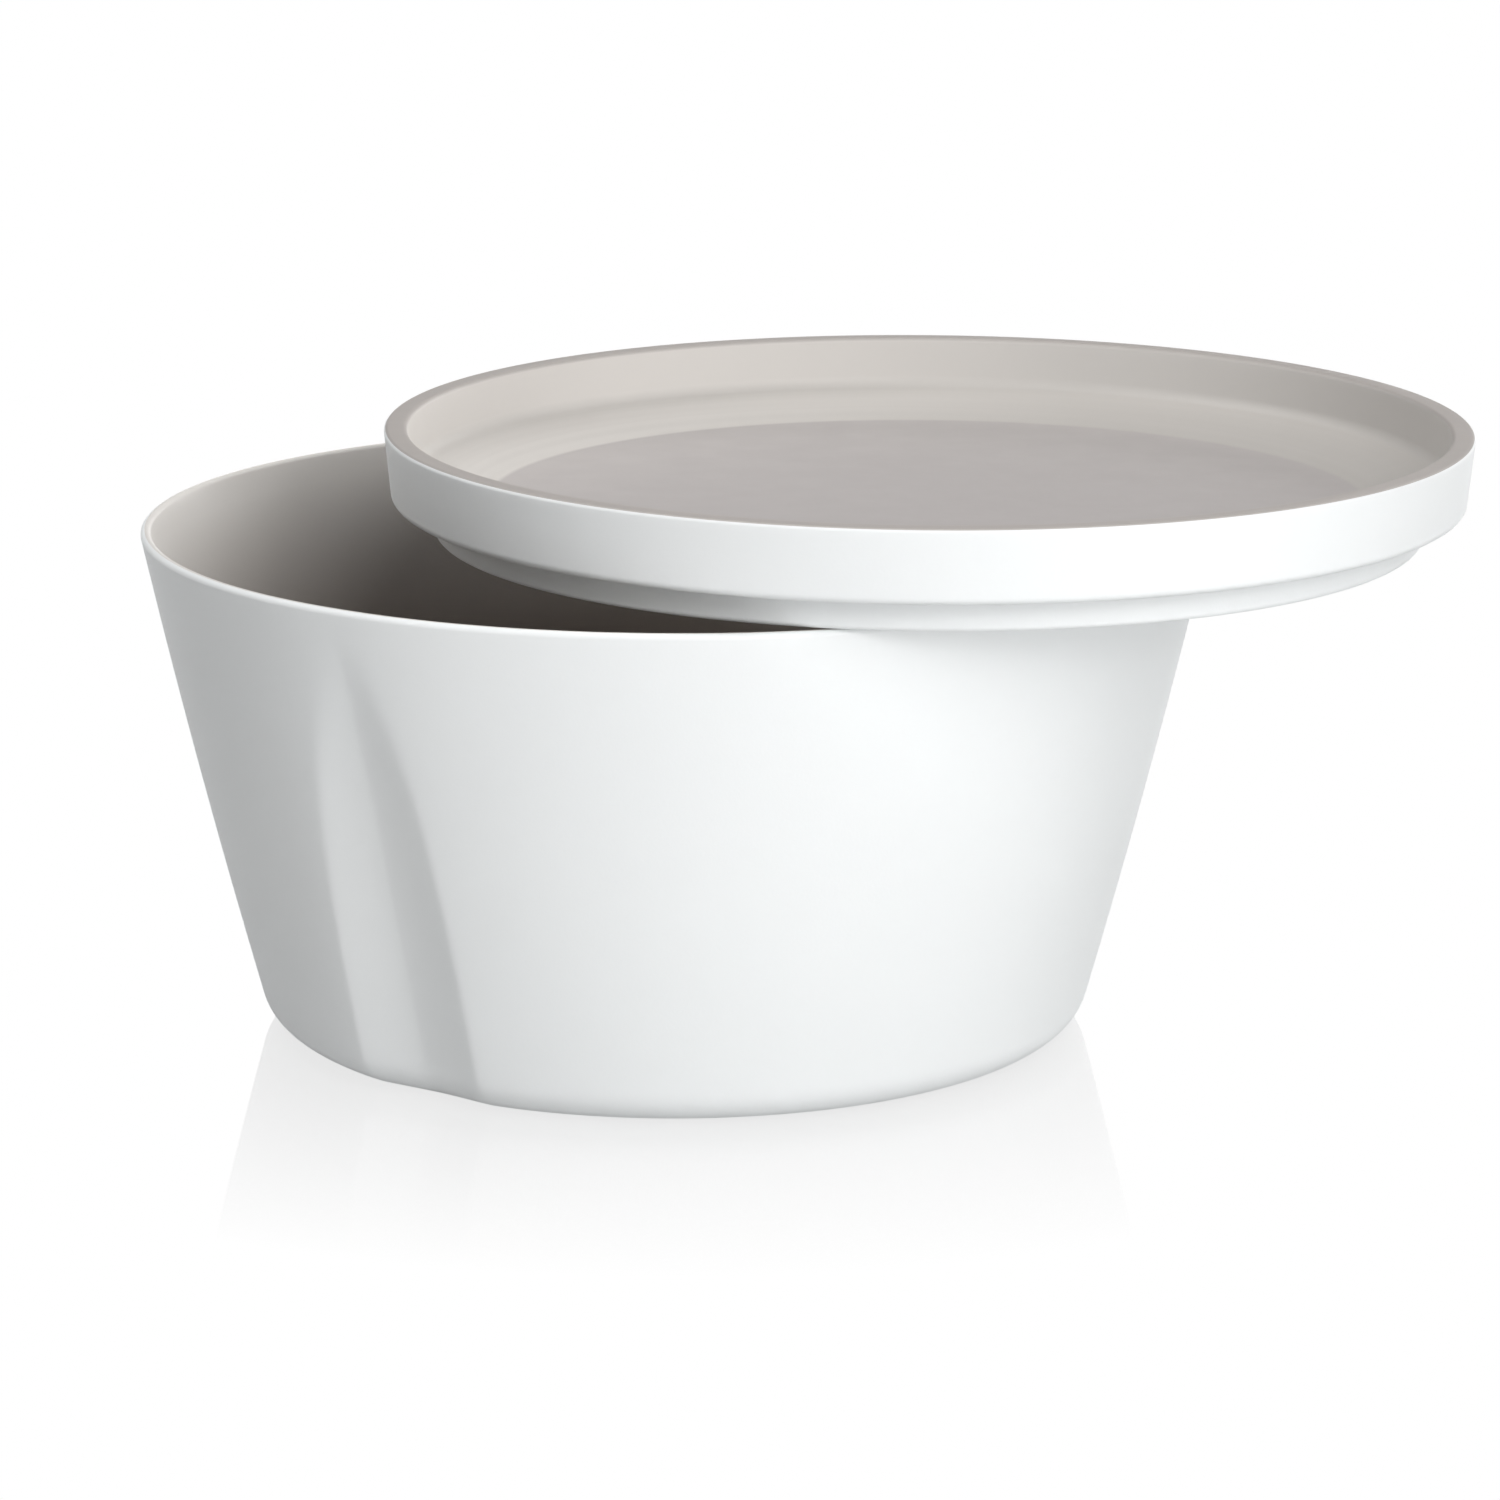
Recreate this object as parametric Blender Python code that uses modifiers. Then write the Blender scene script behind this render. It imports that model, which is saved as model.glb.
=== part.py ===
"""Go stone bowl: a round porcelain bowl and its dished lid, laid off-centre on the rim.

Metres, +Z up. The origin is the centre of the bowl's underside, -Y is the front, and
the lid lies pushed over towards +X. Each piece is one turned section. The bowl's wall
is also pressed in at two places, which makes the grooves that fingers hold it by.
"""
import math

import bmesh
import bpy

OBJECT_NAME = "go_stone_bowl"

# The bowl
RIM_RADIUS = 0.1003           # where the wall's line would meet the level of the rim
BOWL_HEIGHT = 0.0952
BASE_RADIUS = 0.0770          # where the wall's line would meet the table
BASE_CORNER = 0.0085          # radius of the corner between wall and underside
WALL_BELLY = 0.0007           # how far the wall stands out of a straight cone at mid height
LIP_RADIUS = 0.0010           # of the lip's round section, half the wall there
WALL_FOOT = 0.0036            # thickness of the wall near the floor
FLOOR = 0.0045                # thickness of the floor
FLOOR_CORNER = 0.0090         # radius inside, between floor and wall

# The finger grooves
GROOVE_ANGLES = (-36.0, 144.0)    # degrees from the front, positive towards +X
GROOVE_TOP = 0.0855               # height at which a groove begins
GROOVE_DEPTH = 0.0026             # from the plain wall to the groove's bed
GROOVE_HALF_WIDTH = 0.0129        # across the wall, low down
GROOVE_ENTRY = 3.6                # the higher, the sooner a groove is at its full depth
GROOVE_SKEW = 0.10                # how far the bed leans towards the groove's +X side
FOOT_REACH = 0.0120               # height below which a groove grows shallower again
FOOT_EASE = 0.40                  # share of the depth that is gone at the table
FLOOR_HOLD = 8                    # the higher, the less the floor moves with a groove

# The lid
LID_RADIUS = 0.1011
LID_TAPER = 0.0011                # how much narrower the flange is at its lower edge
FLANGE_HEIGHT = 0.0136
FLANGE_CORNER = 0.0016
RING_RADIUS = 0.0920              # the step below the flange, which drops into the bowl's mouth
RING_HEIGHT = 0.0062
RING_CORNER = 0.0010
LID_WALL = 0.0043                 # across the flat lip
LID_WALL_FOOT = 0.0034            # where the inner wall meets the ledge
LID_LIP_CORNER = 0.0008
LEDGE_DEPTH = 0.0102              # below the lid's rim, at the foot of its inner wall
LEDGE_CORNER = 0.0024             # radius between the inner wall and the ledge
DISH_DEPTH = 0.0143
DISH_RADIUS = 0.0828              # of the level floor, where the slope up to the ledge begins
LID_SHIFT = (0.0470, -0.0076)     # how far the lid lies from the bowl's centre
REST_GAP = 0.0003                 # between the lid's underside and the bowl's rim

# How finely the curves are divided
TURN_STEPS = 96
OUTER_STEPS = 11
INNER_STEPS = 7

BOWL_COLOUR = (0.80, 0.82, 0.82, 1.0)
LID_COLOUR = (0.62, 0.60, 0.58, 1.0)


def clear_objects():
    for old in list(bpy.data.objects):
        bpy.data.objects.remove(old, do_unlink=True)


def porcelain(name, colour, roughness):
    material = bpy.data.materials.new(name)
    material.use_nodes = True
    shader = material.node_tree.nodes["Principled BSDF"]
    shader.inputs["Base Color"].default_value = colour
    shader.inputs["Roughness"].default_value = roughness
    shader.inputs["Metallic"].default_value = 0.0
    material.diffuse_color = colour
    return material


def arc(centre, radius, start, end, steps):
    """Points (r, z) round an arc from start to end, in degrees, both ends included."""
    angles = [math.radians(start + (end - start) * i / steps) for i in range(steps + 1)]
    return [(centre[0] + radius * math.cos(a), centre[1] + radius * math.sin(a)) for a in angles]


def line(start, end, steps):
    """Points (r, z) strictly between two others."""
    shares = [i / steps for i in range(1, steps)]
    return [tuple(a + (b - a) * s for a, b in zip(start, end)) for s in shares]


def wall_radius(z):
    """Radius of the bowl's outer wall at a height, with its slight belly."""
    s = z / BOWL_HEIGHT
    return BASE_RADIUS + (RIM_RADIUS - BASE_RADIUS) * s + WALL_BELLY * 4 * s * (1 - s)


def bowl_profile():
    """Half section of the bowl: floor, inner wall, lip, outer wall, corner and underside."""
    lean = math.degrees(math.atan2(RIM_RADIUS - BASE_RADIUS, BOWL_HEIGHT))
    slant = 1 / math.cos(math.radians(lean))
    lip_z = BOWL_HEIGHT - LIP_RADIUS
    lip = arc((wall_radius(lip_z) - LIP_RADIUS * slant, lip_z), LIP_RADIUS, 180 - lean, -lean, 8)
    inset = math.tan(math.radians(90 - lean) / 2)
    foot = arc((BASE_RADIUS - BASE_CORNER * inset, BASE_CORNER), BASE_CORNER, -lean, -90, 4)
    floor_wall = wall_radius(FLOOR) - WALL_FOOT * slant
    corner = arc((floor_wall - FLOOR_CORNER * inset, FLOOR + FLOOR_CORNER), FLOOR_CORNER, -90, -lean, 4)
    outer = [(wall_radius(z), z) for _, z in line(lip[-1], foot[0], OUTER_STEPS)]
    return [(0, FLOOR)] + corner + line(corner[-1], lip[0], INNER_STEPS) + lip + outer + foot + [(0, 0)]


def lid_profile():
    """Half section of the lid: dish floor, slope, ledge, inner wall, lip, flange and ring."""
    low_radius = LID_RADIUS - LID_TAPER
    under = -FLANGE_HEIGHT - RING_HEIGHT
    lip = LID_LIP_CORNER
    ledge = (low_radius - LID_WALL_FOOT - LEDGE_CORNER, LEDGE_CORNER - LEDGE_DEPTH)
    points = [(0, -DISH_DEPTH), (DISH_RADIUS, -DISH_DEPTH)]
    points += arc(ledge, LEDGE_CORNER, -70, 0, 4)
    points += arc((LID_RADIUS - LID_WALL + lip, -lip), lip, 180, 90, 4)
    points += arc((LID_RADIUS - lip, -lip), lip, 90, 0, 4)
    points += arc((low_radius - FLANGE_CORNER, FLANGE_CORNER - FLANGE_HEIGHT), FLANGE_CORNER, 0, -90, 4)
    points += [(RING_RADIUS, -FLANGE_HEIGHT)]
    points += arc((RING_RADIUS - RING_CORNER, under + RING_CORNER), RING_CORNER, 0, -90, 3)
    return points + [(0, under)]


def turned(name, profile, collection):
    """A piece that turns a half section about Z, as a plain mesh."""
    outline = bpy.data.meshes.new(name + "_section")
    outline.from_pydata([(r, 0, z) for r, z in profile], [(i, i + 1) for i in range(len(profile) - 1)], [])
    piece = bpy.data.objects.new(name, outline)
    collection.objects.link(piece)
    screw = piece.modifiers.new("Turn", "SCREW")
    screw.steps = TURN_STEPS
    screw.render_steps = TURN_STEPS
    screw.use_merge_vertices = True
    screw.merge_threshold = 0.00001
    evaluated = piece.evaluated_get(bpy.context.evaluated_depsgraph_get())
    mesh = bpy.data.meshes.new_from_object(evaluated)
    piece.modifiers.clear()
    piece.data = mesh
    mesh.name = name
    return piece


def groove_press(angle, z):
    """How far the grooves press the wall in, at an angle from the front and a height."""
    fill = 1 - (z / GROOVE_TOP) ** GROOVE_ENTRY
    depth = GROOVE_DEPTH * (1 - FOOT_EASE * max(0, 1 - z / FOOT_REACH) ** 2)
    press = 0
    for middle in GROOVE_ANGLES:
        offset = math.remainder(angle - math.radians(middle), math.tau)
        across = wall_radius(z) * offset / GROOVE_HALF_WIDTH
        if abs(across) < 1:
            press = max(press, depth * (fill - across * across) * (1 + GROOVE_SKEW * across))
    return press


def press_grooves(bowl):
    """Move the wall in at the grooves, inside and out, and hold the middle of the floor."""
    shell = bmesh.new()
    shell.from_mesh(bowl.data)
    for vert in shell.verts:
        x, y, z = vert.co
        radius = math.hypot(x, y)
        hold = min(1, radius / (wall_radius(z) - WALL_FOOT)) ** FLOOR_HOLD
        if radius > 0:
            scale = 1 - hold * groove_press(math.atan2(x, -y), z) / radius
            vert.co = (x * scale, y * scale, z)
    shell.to_mesh(bowl.data)
    shell.free()


def main():
    clear_objects()
    collection = bpy.data.collections.new(OBJECT_NAME)
    bpy.context.scene.collection.children.link(collection)
    bowl = turned("bowl", bowl_profile(), collection)
    press_grooves(bowl)
    lid = turned("lid", lid_profile(), collection)
    lid.location = (LID_SHIFT[0], LID_SHIFT[1], BOWL_HEIGHT + REST_GAP + FLANGE_HEIGHT + RING_HEIGHT)
    for piece, colour, roughness in ((bowl, BOWL_COLOUR, 0.6), (lid, LID_COLOUR, 0.4)):
        piece.data.shade_smooth()
        piece.data.set_sharp_from_angle(angle=math.radians(35))
        piece.data.materials.clear()
        piece.data.materials.append(porcelain(piece.name + "_porcelain", colour, roughness))


main()
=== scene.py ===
"""Looks of the go stone bowl: white bisque porcelain outside, warm grey glaze inside.

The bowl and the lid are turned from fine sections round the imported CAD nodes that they
replace. The bowl's wall is pressed in at two grooves, which are shaped a little more
sharply than the CAD's, by up to half a millimetre. Metres, +Z up, -Y is the front.
"""
import math

import bmesh
import bpy
import numpy as np
from mathutils import Matrix, Vector


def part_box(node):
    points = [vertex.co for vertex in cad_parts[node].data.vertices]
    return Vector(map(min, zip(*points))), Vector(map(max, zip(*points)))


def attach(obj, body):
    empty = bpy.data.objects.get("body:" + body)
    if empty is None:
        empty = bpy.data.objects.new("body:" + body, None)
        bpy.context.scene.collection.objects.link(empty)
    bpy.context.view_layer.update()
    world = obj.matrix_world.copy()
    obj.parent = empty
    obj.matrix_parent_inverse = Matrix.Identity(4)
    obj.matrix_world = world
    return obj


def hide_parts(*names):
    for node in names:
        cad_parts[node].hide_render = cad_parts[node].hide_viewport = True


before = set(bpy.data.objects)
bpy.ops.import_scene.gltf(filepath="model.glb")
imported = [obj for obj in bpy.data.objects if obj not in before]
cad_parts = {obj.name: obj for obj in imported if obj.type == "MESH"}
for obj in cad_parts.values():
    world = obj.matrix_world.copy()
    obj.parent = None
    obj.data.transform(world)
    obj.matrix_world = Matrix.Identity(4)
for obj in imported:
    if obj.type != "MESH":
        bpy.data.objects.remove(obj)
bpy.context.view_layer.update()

BOWL_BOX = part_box("bowl")
LID_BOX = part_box("lid")

# The bowl
BOWL_HEIGHT = BOWL_BOX[1][2]
LIP_REACH = BOWL_BOX[1][0]        # radius of the lip's outermost point
WALL_LEAN = math.radians(13.75)
WALL_BELLY = 0.0007
BASE_CORNER = 0.0085
LIP_RADIUS = 0.0010
BOWL_GLAZE_END = 72               # degrees round the lip's section, from level, where glaze stops
WALL_FOOT = 0.0036
FLOOR = 0.0045
FLOOR_CORNER = 0.0090

# The finger grooves
GROOVE_ANGLES = (-36.6, 143.4)
GROOVE_TOP = 0.0848
GROOVE_DEPTH = 0.0029
GROOVE_HALF_WIDTH = 0.0134
GROOVE_ENTRY = 3.6
GROOVE_POWER = 1.6                # 2 is a round bed, 1 a V
GROOVE_SOFTNESS = 0.00024
FOOT_REACH = 0.0120
FOOT_EASE = 0.40
FLOOR_HOLD = 8

# The lid
LID_CENTRE = ((LID_BOX[0][0] + LID_BOX[1][0]) / 2, (LID_BOX[0][1] + LID_BOX[1][1]) / 2)
LID_RADIUS = (LID_BOX[1][0] - LID_BOX[0][0]) / 2
LID_TOP = LID_BOX[1][2]
LID_HEIGHT = LID_BOX[1][2] - LID_BOX[0][2]
LID_TAPER = 0.0011
RING_HEIGHT = 0.0062
FLANGE_CORNER = 0.0016
RING_RADIUS = 0.0920
RING_CORNER = 0.0010
RING_FILLET = 0.0006              # between the ring and the flange above it
LID_WALL = 0.0043
LID_WALL_FOOT = 0.0034
LID_LIP_CORNER = 0.0008
LID_GLAZE_END = 45                # degrees round the lip's outer corner, where glaze stops
LEDGE_DEPTH = 0.0102
LEDGE_CORNER = 0.0024
DISH_DEPTH = 0.0143
DISH_RADIUS = 0.0828
DISH_EASE = 0.002                 # how far before its edge the level floor begins to turn up

# The camera
CAMERA_BACK = 1.0535
CAMERA_HEIGHT = 0.3040
CAMERA_PITCH = 13.51
CAMERA_YAW = 0.77
CAMERA_ROLL = 0.24
CAMERA_LENS = 136.96

# The studio
MIRROR_LEVEL = 0.20                  # what the glaze mirrors of the surroundings
MIRROR_SLOPE = (-0.05, -0.05, 0.25)  # how that grows along X, Y and Z
FLOOR_BOUNCE = 0.57
FOOT_GLOW = 0.10                     # extra light off the floor close to the bowl
REFLECTION_TINT = 0.75               # how much of its brightness the floor's mirror image keeps
REFLECTION_FADE = (0.085, 0.160)
CARD_BACK = 0.20
CARD_HEIGHT = 0.12
LAMP_SIZE = 0.9
LAMP_DISTANCE = 1.6
LAMP_AIM = (0.0, 0.0, 0.06)
LAMPS = (                            # name, azimuth from the front, elevation, power
    ("key_high", 20, 35, 12.4),
    ("key_low", 29, 12, 11.6),
    ("top_back", -120, 62, 11.5),
    ("back_right", 152, 12, 27.0),
    ("left", -80, 30, 2.8),
    ("top", 0, 85, 4.0),
)


# ---------------------------------------------------------------- sections

def arc(centre, radius, start, end, steps):
    angles = [math.radians(start + (end - start) * i / steps) for i in range(steps + 1)]
    return [(centre[0] + radius * math.cos(a), centre[1] + radius * math.sin(a)) for a in angles]


def line(start, end, steps):
    return [(start[0] + (end[0] - start[0]) * i / steps, start[1] + (end[1] - start[1]) * i / steps)
            for i in range(1, steps)]


RIM_RADIUS = LIP_REACH + LIP_RADIUS * (1 / math.cos(WALL_LEAN) - 1) + LIP_RADIUS * math.tan(WALL_LEAN)
BASE_RADIUS = RIM_RADIUS - BOWL_HEIGHT * math.tan(WALL_LEAN)


def wall_radius(z):
    s = z / BOWL_HEIGHT
    return BASE_RADIUS + (RIM_RADIUS - BASE_RADIUS) * s + WALL_BELLY * 4 * s * (1 - s)


def wall_lean(z):
    """Angle of the outer wall from the vertical, in degrees."""
    step = 0.0001
    return math.degrees(math.atan2(wall_radius(z + step) - wall_radius(z - step), 2 * step))


def bowl_sections():
    """The bowl's half section as (inside points, outside points), from floor to underside."""
    top_lean = wall_lean(BOWL_HEIGHT - LIP_RADIUS)
    lip_z = BOWL_HEIGHT - LIP_RADIUS
    lip_r = wall_radius(lip_z) - LIP_RADIUS / math.cos(math.radians(top_lean))
    inner_lip = arc((lip_r, lip_z), LIP_RADIUS, 180 - top_lean, BOWL_GLAZE_END, 6)
    outer_lip = arc((lip_r, lip_z), LIP_RADIUS, BOWL_GLAZE_END, -top_lean, 12)
    foot_lean = wall_lean(BASE_CORNER)
    inset = math.tan(math.radians(90 - foot_lean) / 2)
    foot_z = BASE_CORNER * (1 - math.sin(math.radians(foot_lean)))
    foot_r = wall_radius(foot_z) - BASE_CORNER * math.cos(math.radians(foot_lean))
    foot = arc((foot_r, BASE_CORNER), BASE_CORNER, -foot_lean, -90, 14)
    floor_wall = wall_radius(FLOOR) - WALL_FOOT / math.cos(math.radians(foot_lean))
    corner_r = floor_wall - FLOOR_CORNER * inset
    corner = arc((corner_r, FLOOR + FLOOR_CORNER), FLOOR_CORNER, -90, -foot_lean, 14)
    inside = [(0, FLOOR)] + line((0, FLOOR), corner[0], 12) + corner
    inside += line(corner[-1], inner_lip[0], 44) + inner_lip
    outside = outer_lip[1:]
    outside += [(wall_radius(z), z) for _, z in line(outer_lip[-1], foot[0], 80)] + foot
    outside += line(foot[-1], (0, 0), 10) + [(0, 0)]
    return inside, outside


def lid_sections():
    """The lid's half section as (inside points, outside points), heights below its rim."""
    low = LID_RADIUS - LID_TAPER
    flange = LID_HEIGHT - RING_HEIGHT
    lip = LID_LIP_CORNER
    ledge = (low - LID_WALL_FOOT - LEDGE_CORNER, LEDGE_CORNER - LEDGE_DEPTH)
    hollow = arc(ledge, LEDGE_CORNER, -70, 0, 10)
    inner_lip = arc((LID_RADIUS - LID_WALL + lip, -lip), lip, 180, 90, 6)
    inside = [(0, -DISH_DEPTH)] + line((0, -DISH_DEPTH), (DISH_RADIUS, -DISH_DEPTH), 40)
    inside += soft_corner((DISH_RADIUS - DISH_EASE, -DISH_DEPTH), (DISH_RADIUS, -DISH_DEPTH), hollow[0], 6)
    inside += line(inside[-1], hollow[0], 16) + hollow + line(hollow[-1], inner_lip[0], 10) + inner_lip
    inside += line(inside[-1], (LID_RADIUS - lip, 0), 4)
    inside += arc((LID_RADIUS - lip, -lip), lip, 90, LID_GLAZE_END, 4)
    outside = arc((LID_RADIUS - lip, -lip), lip, LID_GLAZE_END, 0, 5)[1:]
    corner = arc((low - FLANGE_CORNER, FLANGE_CORNER - flange), FLANGE_CORNER, 0, -90, 10)
    outside += line(outside[-1], corner[0], 14) + corner
    fillet = RING_FILLET
    outside += arc((RING_RADIUS + fillet, -flange - fillet), fillet, 90, 180, 4)
    outside += arc((RING_RADIUS - RING_CORNER, RING_CORNER - LID_HEIGHT), RING_CORNER, 0, -90, 8)
    outside += line(outside[-1], (0, -LID_HEIGHT), 10) + [(0, -LID_HEIGHT)]
    return inside, outside


def soft_corner(before, corner, after, steps):
    """A curve that leaves one line and joins another instead of turning at their corner."""
    reach = math.dist(before, corner)
    share = reach / math.dist(corner, after)
    end = (corner[0] + (after[0] - corner[0]) * share, corner[1] + (after[1] - corner[1]) * share)
    points = []
    for i in range(steps + 1):
        t = i / steps
        points.append(tuple(a * (1 - t) ** 2 + 2 * b * t * (1 - t) + c * t * t
                            for a, b, c in zip(before, corner, end)))
    return points


# ---------------------------------------------------------------- turning

def turned(name, inside, outside, angles, materials):
    """A closed turned mesh. Inside faces take the first material and outside ones the second."""
    mesh = bmesh.new()
    section = inside + outside
    rings = []
    for r, z in section:
        if r == 0:
            rings.append([mesh.verts.new((0, 0, z))])
        else:
            rings.append([mesh.verts.new((r * math.sin(a), -r * math.cos(a), z)) for a in angles])
    count = len(angles)
    for k in range(len(rings) - 1):
        low, high = rings[k], rings[k + 1]
        slot = 0 if k < len(inside) - 1 else 1
        for i in range(count):
            j = (i + 1) % count
            if len(low) == 1:
                corners = (low[0], high[j], high[i])
            elif len(high) == 1:
                corners = (low[i], low[j], high[0])
            else:
                corners = (low[i], low[j], high[j], high[i])
            mesh.faces.new(corners).material_index = slot
    bmesh.ops.recalc_face_normals(mesh, faces=mesh.faces)
    data = bpy.data.meshes.new(name)
    mesh.to_mesh(data)
    mesh.free()
    data.shade_smooth()
    piece = bpy.data.objects.new(name, data)
    bpy.context.scene.collection.objects.link(piece)
    for material in materials:
        data.materials.append(material)
    return piece


def turn_angles(coarse, fine=(), fine_half=13.0, fine_step=0.3):
    """Angles round the axis, closer together about each fine angle, in radians."""
    angles = {round(a, 4) for a in np.arange(0, 360, coarse)}
    for middle in fine:
        angles = {a for a in angles if abs((a - middle + 180) % 360 - 180) > fine_half}
        angles |= {round(a % 360, 4) for a in np.arange(middle - fine_half, middle + fine_half, fine_step)}
    return [math.radians(a) for a in sorted(angles)]


def groove_press(angle, z):
    """How far the grooves press the wall in, with softly rounded edges."""
    rise = z / GROOVE_TOP
    depth = GROOVE_DEPTH * (1 - FOOT_EASE * max(0, 1 - z / FOOT_REACH) ** 2)
    softness = GROOVE_SOFTNESS * (1 + 2.5 * min(1, rise) ** 4)
    press = 0
    for middle in GROOVE_ANGLES:
        offset = math.remainder(angle - math.radians(middle), math.tau)
        across = wall_radius(z) * offset / GROOVE_HALF_WIDTH
        cut = depth * (1 - rise ** GROOVE_ENTRY - abs(across) ** GROOVE_POWER)
        press += (cut + math.hypot(cut, softness)) / 2
    return press


def press_grooves(bowl):
    for vert in bowl.data.vertices:
        x, y, z = vert.co
        radius = math.hypot(x, y)
        hold = min(1, radius / (wall_radius(z) - WALL_FOOT)) ** FLOOR_HOLD
        if hold > 0.001:
            scale = 1 - hold * groove_press(math.atan2(x, -y), z) / radius
            vert.co = (x * scale, y * scale, z)


# ---------------------------------------------------------------- materials

class Nodes:
    """A material's node tree, with its Principled shader."""

    def __init__(self, name):
        self.material = bpy.data.materials.new(name)
        self.material.use_nodes = True
        self.tree = self.material.node_tree
        self.shader = self.tree.nodes["Principled BSDF"]
        self.place = self.add("ShaderNodeTexCoord").outputs["Object"]

    def add(self, kind, inputs=None, **settings):
        node = self.tree.nodes.new(kind)
        for key, value in settings.items():
            setattr(node, key, value)
        for key, value in (inputs or {}).items():
            if isinstance(value, bpy.types.NodeSocket):
                self.tree.links.new(value, node.inputs[key])
            else:
                node.inputs[key].default_value = value
        return node

    def noise(self, scale, detail=4.0, roughness=0.5, vector=None):
        inputs = {"Vector": vector or self.place, "Scale": scale, "Detail": detail, "Roughness": roughness}
        return self.add("ShaderNodeTexNoise", inputs).outputs["Fac"]

    def ramp(self, value, low, high, out_low=0.0, out_high=1.0):
        inputs = {"Value": value, "From Min": low, "From Max": high, "To Min": out_low, "To Max": out_high}
        return self.add("ShaderNodeMapRange", inputs).outputs["Result"]

    def maths(self, operation, a, b=0.0):
        node = self.add("ShaderNodeMath", operation=operation)
        for socket, value in zip(node.inputs, (a, b)):
            if isinstance(value, bpy.types.NodeSocket):
                self.tree.links.new(value, socket)
            else:
                socket.default_value = value
        return node.outputs[0]

    def mix(self, share, a, b):
        node = self.add("ShaderNodeMix", data_type="RGBA")
        for index, value in ((0, share), (6, a), (7, b)):
            if isinstance(value, bpy.types.NodeSocket):
                self.tree.links.new(value, node.inputs[index])
            else:
                node.inputs[index].default_value = value
        return node.outputs[2]

    def bump(self, height, strength, distance, normal=None):
        inputs = {"Height": height, "Strength": strength, "Distance": distance}
        if normal is not None:
            inputs["Normal"] = normal
        return self.add("ShaderNodeBump", inputs).outputs["Normal"]

    def connect(self, socket, value):
        self.tree.links.new(value, self.shader.inputs[socket])


def grey(level):
    return (level, level, level, 1.0)


def bisque_material():
    """Unglazed white porcelain: matt, very fine tooth, a few pinholes and iron specks."""
    n = Nodes("bisque_porcelain")
    cloud = n.noise(14.0, 3.0)
    white = n.mix(cloud, (0.83, 0.85, 0.855, 1.0), (0.87, 0.885, 0.885, 1.0))
    spots = n.add("ShaderNodeTexVoronoi", {"Vector": n.place, "Scale": 42.0, "Randomness": 1.0})
    chance = n.add("ShaderNodeSeparateColor", {"Color": spots.outputs["Color"]}).outputs[0]
    picked = n.maths("GREATER_THAN", chance, 0.93)
    speck = n.maths("MULTIPLY", picked, n.ramp(spots.outputs["Distance"], 0.016, 0.04, 1.0, 0.0))
    n.connect("Base Color", n.mix(n.maths("MULTIPLY", speck, 0.35), white, (0.55, 0.55, 0.54, 1.0)))
    n.connect("Roughness", n.ramp(n.noise(900.0, 2.0), 0.3, 0.7, 0.56, 0.70))
    tooth = n.bump(n.noise(1600.0, 3.0, 0.6), 0.10, 0.0002)
    n.connect("Normal", n.bump(n.noise(55.0, 2.0), 0.05, 0.002, tooth))
    n.shader.inputs["Specular IOR Level"].default_value = 0.35
    return n.material


def glaze(name):
    """A material tree with the clouding and soft gloss that both glazes share."""
    n = Nodes(name)
    n.cloud = n.noise(18.0, 4.0, 0.55)
    n.apart = n.add("ShaderNodeSeparateXYZ", {0: n.place})
    n.connect("Roughness", n.ramp(n.noise(90.0, 3.0), 0.3, 0.7, 0.29, 0.37))
    n.shader.inputs["Specular IOR Level"].default_value = 0.35
    return n


def turning_rings(n, low, high):
    """Faint rings about the axis, as the turning tool leaves them, as a share. Needs n.radius."""
    pulled = n.add("ShaderNodeCombineXYZ", {0: n.radius}).outputs[0]
    drift = {0: n.place, 1: (0.012, 0.012, 0.0)}
    wander = n.add("ShaderNodeVectorMath", drift, operation="MULTIPLY").outputs[0]
    where = n.add("ShaderNodeVectorMath", {0: pulled, 1: wander}, operation="ADD").outputs[0]
    return n.ramp(n.noise(420.0, 2.0, 0.5, where), 0.3, 0.7, low, high)


def lid_glaze_material():
    """Warm grey glaze with painted light and shade: lighter on the slope and the wall and towards -X,
    darker on floor and lip.
    """
    n = glaze("lid_grey_glaze")
    flat = n.add("ShaderNodeCombineXYZ", {0: n.apart.outputs[0], 1: n.apart.outputs[1]}).outputs[0]
    n.radius = n.add("ShaderNodeVectorMath", {0: flat}, operation="LENGTH").outputs["Value"]
    # Floor, slope and wall are lit and shaded copies of one glaze: painted shade on the floor, painted
    # light on the slope and the wall
    floor = n.mix(n.cloud, (0.435, 0.408, 0.401, 1.0), (0.462, 0.435, 0.427, 1.0))
    # across: painted light and shade across the lid, the glaze lighter towards -X and darker towards +X
    across = n.ramp(n.apart.outputs[0], -0.06, 0.035)
    streaks = turning_rings(n, 0.0, 0.22)
    slope = n.mix(across, (0.635, 0.610, 0.580, 1.0), (0.500, 0.479, 0.453, 1.0))
    slope = n.mix(streaks, slope, (0.42, 0.395, 0.375, 1.0))
    wall = n.mix(across, (0.710, 0.682, 0.650, 1.0), (0.600, 0.580, 0.555, 1.0))
    edge = n.ramp(n.radius, DISH_RADIUS - 0.0012, DISH_RADIUS - 0.0002)
    inner = n.mix(edge, floor, n.mix(n.ramp(n.apart.outputs[2], -0.0102, -0.0080), slope, wall))
    # lip: painted shade, a darker band along the top of the lip
    lip = n.ramp(n.apart.outputs[2], -0.0007, -0.0002)
    n.connect("Base Color", n.mix(lip, inner, (0.43, 0.40, 0.38, 1.0)))
    n.connect("Normal", n.bump(n.noise(45.0, 1.0), 0.04, 0.001))
    return n.material


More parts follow.
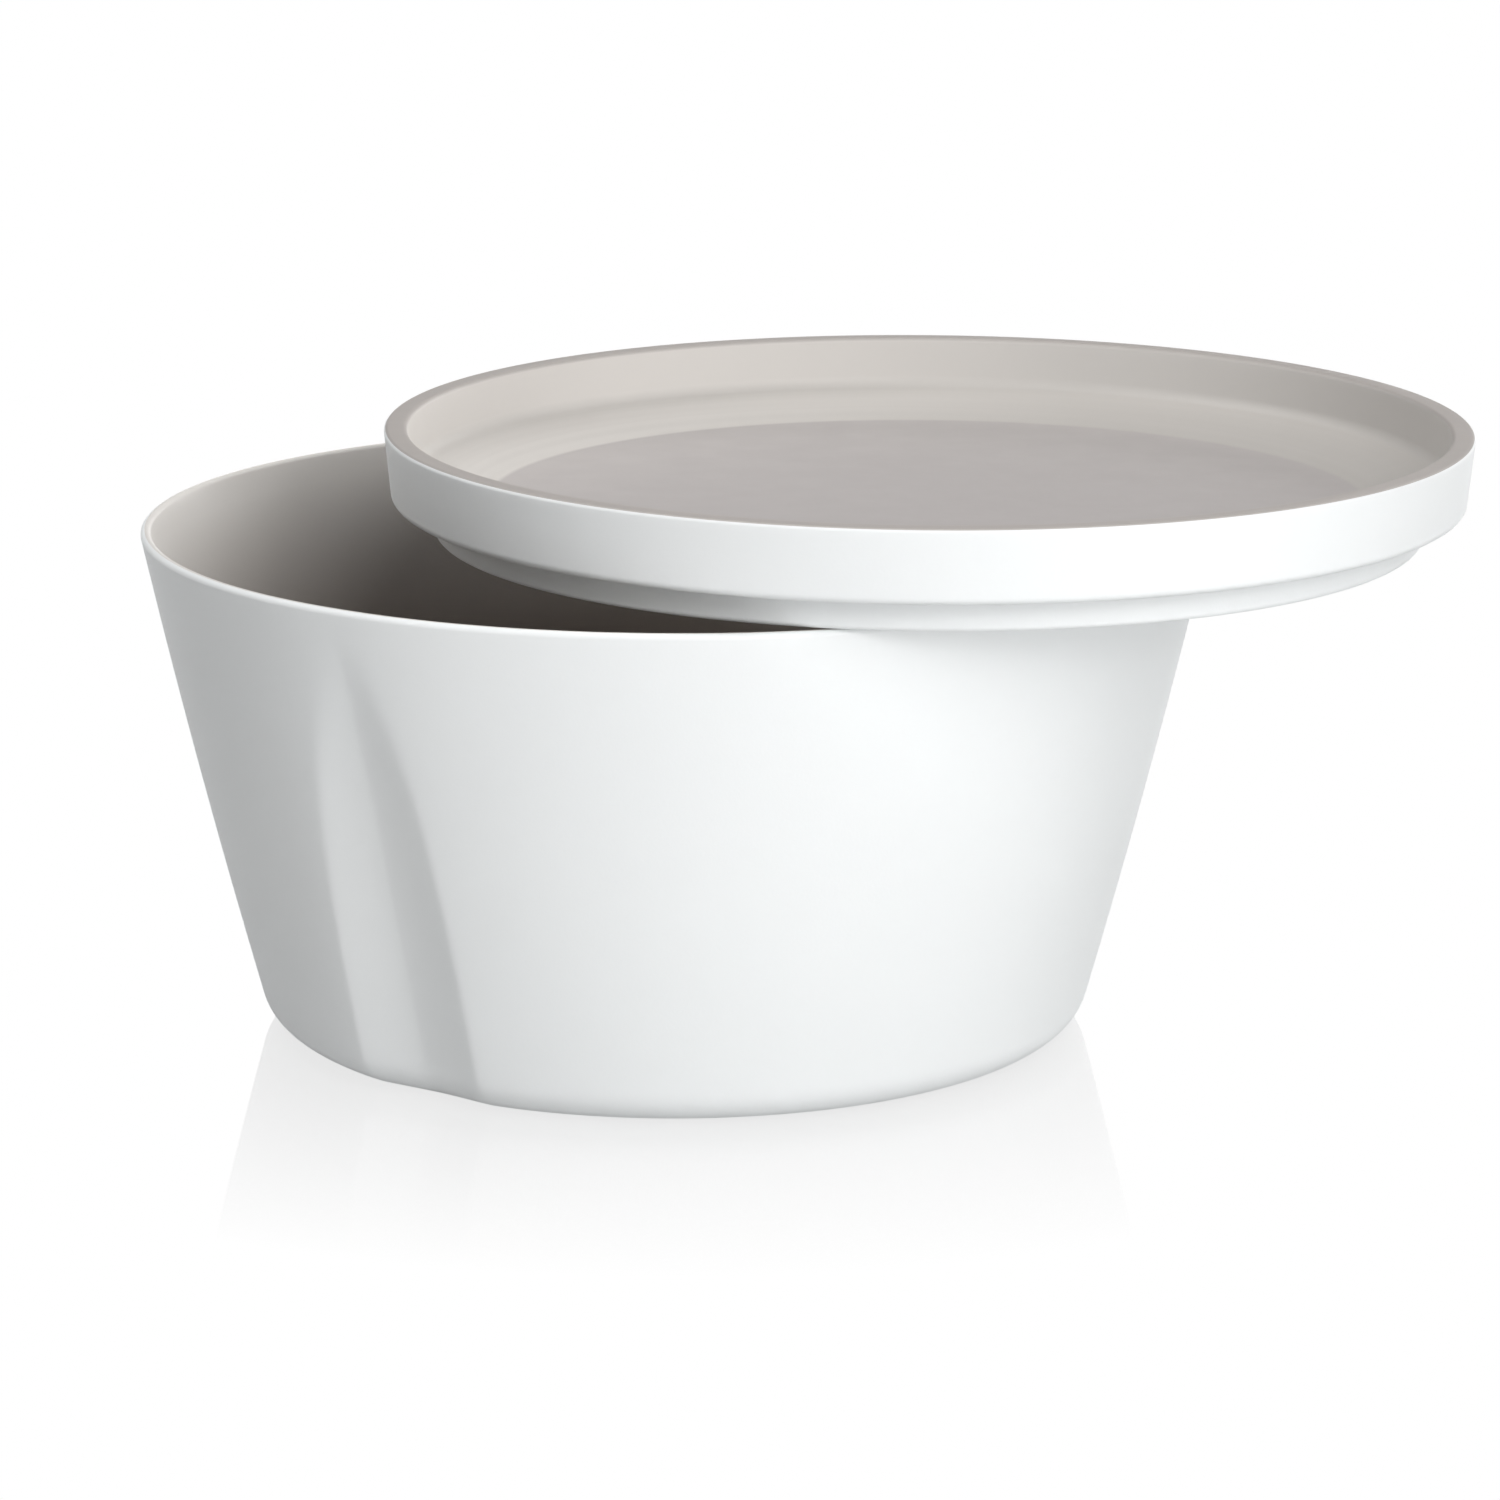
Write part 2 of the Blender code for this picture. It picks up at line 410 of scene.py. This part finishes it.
def bowl_glaze_material():
    """Warm grey glaze, light near the rim and much darker and browner towards the floor, partly the
    glaze's tone and partly painted shade.
    """
    n = glaze("bowl_grey_glaze")
    high = n.mix(n.cloud, (0.66, 0.635, 0.605, 1.0), (0.70, 0.675, 0.645, 1.0))
    # low: the glaze's tone towards the floor, darkened further by painted shade inside the covered bowl
    low = n.mix(n.cloud, (0.120, 0.078, 0.052, 1.0), (0.145, 0.096, 0.068, 1.0))
    n.connect("Base Color", n.mix(n.ramp(n.apart.outputs[2], 0.034, 0.090), low, high))
    n.connect("Normal", n.bump(n.noise(45.0, 1.0), 0.04, 0.001))
    return n.material


# ---------------------------------------------------------------- the pieces

BISQUE = bisque_material()


def build_bowl():
    inside, outside = bowl_sections()
    bowl = turned("bowl_porcelain", inside, outside, turn_angles(1.5, GROOVE_ANGLES),
                  (bowl_glaze_material(), BISQUE))
    press_grooves(bowl)
    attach(bowl, "bowl")
    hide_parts("bowl")


def build_lid():
    inside, outside = lid_sections()
    lid = turned("lid_porcelain", inside, outside, turn_angles(1.0), (lid_glaze_material(), BISQUE))
    lid.location = (LID_CENTRE[0], LID_CENTRE[1], LID_TOP)
    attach(lid, "lid")
    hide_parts("lid")


build_bowl()
build_lid()


# ---------------------------------------------------------------- the studio

def lit_floor_material():
    """A white floor that the camera sees evenly lit, with the faint mirror image of what stands on it."""
    n = Nodes("studio_floor")
    tree = n.tree
    tree.nodes.remove(n.shader)
    matt = n.add("ShaderNodeBsdfDiffuse", {"Color": grey(FLOOR_BOUNCE)})
    glow = n.add("ShaderNodeEmission", {"Color": (1.0, 1.0, 1.0, 1.0), "Strength": 1.0})
    mirror = n.add("ShaderNodeBsdfGlossy", {"Color": grey(REFLECTION_TINT), "Roughness": 0.03})
    away = n.add("ShaderNodeVectorMath", {0: n.place}, operation="LENGTH").outputs["Value"]
    fade = n.ramp(away, REFLECTION_FADE[0], REFLECTION_FADE[1], 1.0, 0.0)
    share = n.maths("MULTIPLY", n.add("ShaderNodeFresnel", {"IOR": 1.65}).outputs[0], fade)
    seen = n.add("ShaderNodeMixShader", {0: share, 1: glow.outputs[0], 2: mirror.outputs[0]})
    lift = n.add("ShaderNodeEmission", {"Strength": n.ramp(away, 0.080, 0.110, FOOT_GLOW, 0.0)})
    lit = n.add("ShaderNodeAddShader", {0: matt.outputs[0], 1: lift.outputs[0]})
    camera = n.add("ShaderNodeLightPath").outputs["Is Camera Ray"]
    both = n.add("ShaderNodeMixShader", {0: camera, 1: lit.outputs[0], 2: seen.outputs[0]})
    tree.links.new(both.outputs[0], tree.nodes["Material Output"].inputs["Surface"])
    return n.material


def white_card_material():
    n = Nodes("studio_card")
    n.tree.nodes.remove(n.shader)
    glow = n.add("ShaderNodeEmission", {"Color": (1.0, 1.0, 1.0, 1.0), "Strength": 1.0 / REFLECTION_TINT})
    n.tree.links.new(glow.outputs[0], n.tree.nodes["Material Output"].inputs["Surface"])
    return n.material


def stage_plane(name, width, depth, location, tilt, material):
    mesh = bmesh.new()
    bmesh.ops.create_grid(mesh, x_segments=1, y_segments=1, size=0.5)
    bmesh.ops.scale(mesh, vec=(width, depth, 1.0), verts=mesh.verts)
    data = bpy.data.meshes.new(name)
    mesh.to_mesh(data)
    mesh.free()
    data.materials.append(material)
    plane = bpy.data.objects.new(name, data)
    bpy.context.scene.collection.objects.link(plane)
    plane.location = location
    plane.rotation_euler.x = math.radians(tilt)
    return plane


def build_stage():
    """The floor, and a low white card behind that only the floor's mirror image shows."""
    stage_plane("studio_floor", 60.0, 60.0, (0, 0, BOWL_BOX[0][2] - 0.0001), 0, lit_floor_material())
    middle = (0, CARD_BACK, CARD_HEIGHT / 2)
    card = stage_plane("studio_card", 4.0, CARD_HEIGHT, middle, 90, white_card_material())
    card.visible_camera = False
    card.visible_diffuse = False
    card.visible_shadow = False


def area_light(name, azimuth, elevation, power):
    """A soft light aimed at the bowl; azimuth from the front, positive towards +X."""
    light = bpy.data.lights.new(name, "AREA")
    light.shape = "DISK"
    light.size = LAMP_SIZE
    light.energy = power
    lamp = bpy.data.objects.new(name, light)
    bpy.context.scene.collection.objects.link(lamp)
    a, e = math.radians(azimuth), math.radians(elevation)
    out = Vector((math.sin(a) * math.cos(e), -math.cos(a) * math.cos(e), math.sin(e)))
    lamp.location = Vector(LAMP_AIM) + out * LAMP_DISTANCE
    lamp.rotation_euler = out.to_track_quat("Z", "Y").to_euler()
    lamp.visible_glossy = False


def build_world():
    """White to the camera, a soft gradient to what mirrors it, and dark to everything else."""
    world = bpy.data.worlds.new("studio")
    bpy.context.scene.world = world
    world.use_nodes = True
    tree = world.node_tree
    path = tree.nodes.new("ShaderNodeLightPath")
    place = tree.nodes.new("ShaderNodeTexCoord")
    slope = tree.nodes.new("ShaderNodeVectorMath")
    slope.operation = "DOT_PRODUCT"
    slope.inputs[1].default_value = MIRROR_SLOPE
    tree.links.new(place.outputs["Generated"], slope.inputs[0])
    mirrored = tree.nodes.new("ShaderNodeMath")
    mirrored.operation = "ADD"
    mirrored.use_clamp = True
    mirrored.inputs[1].default_value = MIRROR_LEVEL
    tree.links.new(slope.outputs["Value"], mirrored.inputs[0])
    level = tree.nodes.new("ShaderNodeMath")
    level.operation = "MULTIPLY_ADD"
    tree.links.new(path.outputs["Is Glossy Ray"], level.inputs[0])
    tree.links.new(mirrored.outputs[0], level.inputs[1])
    tree.links.new(path.outputs["Is Camera Ray"], level.inputs[2])
    back = tree.nodes["Background"]
    tree.links.new(level.outputs[0], back.inputs["Strength"])
    back.inputs["Color"].default_value = (1.0, 1.0, 1.0, 1.0)


def build_camera():
    data = bpy.data.cameras.new("camera")
    data.lens = CAMERA_LENS
    data.sensor_width = 36.0
    data.clip_start = 0.05
    camera = bpy.data.objects.new("camera", data)
    bpy.context.scene.collection.objects.link(camera)
    yaw, pitch = math.radians(CAMERA_YAW), math.radians(CAMERA_PITCH)
    look = Vector((math.sin(yaw) * math.cos(pitch), math.cos(yaw) * math.cos(pitch), -math.sin(pitch)))
    camera.location = (0.0, -CAMERA_BACK, CAMERA_HEIGHT)
    turn = look.to_track_quat("-Z", "Y").to_matrix() @ Matrix.Rotation(math.radians(CAMERA_ROLL), 3, "Z")
    camera.rotation_euler = turn.to_euler()
    bpy.context.scene.camera = camera


build_stage()
build_world()
for lamp in LAMPS:
    area_light(*lamp)
build_camera()
bpy.context.scene.view_settings.view_transform = "Standard"
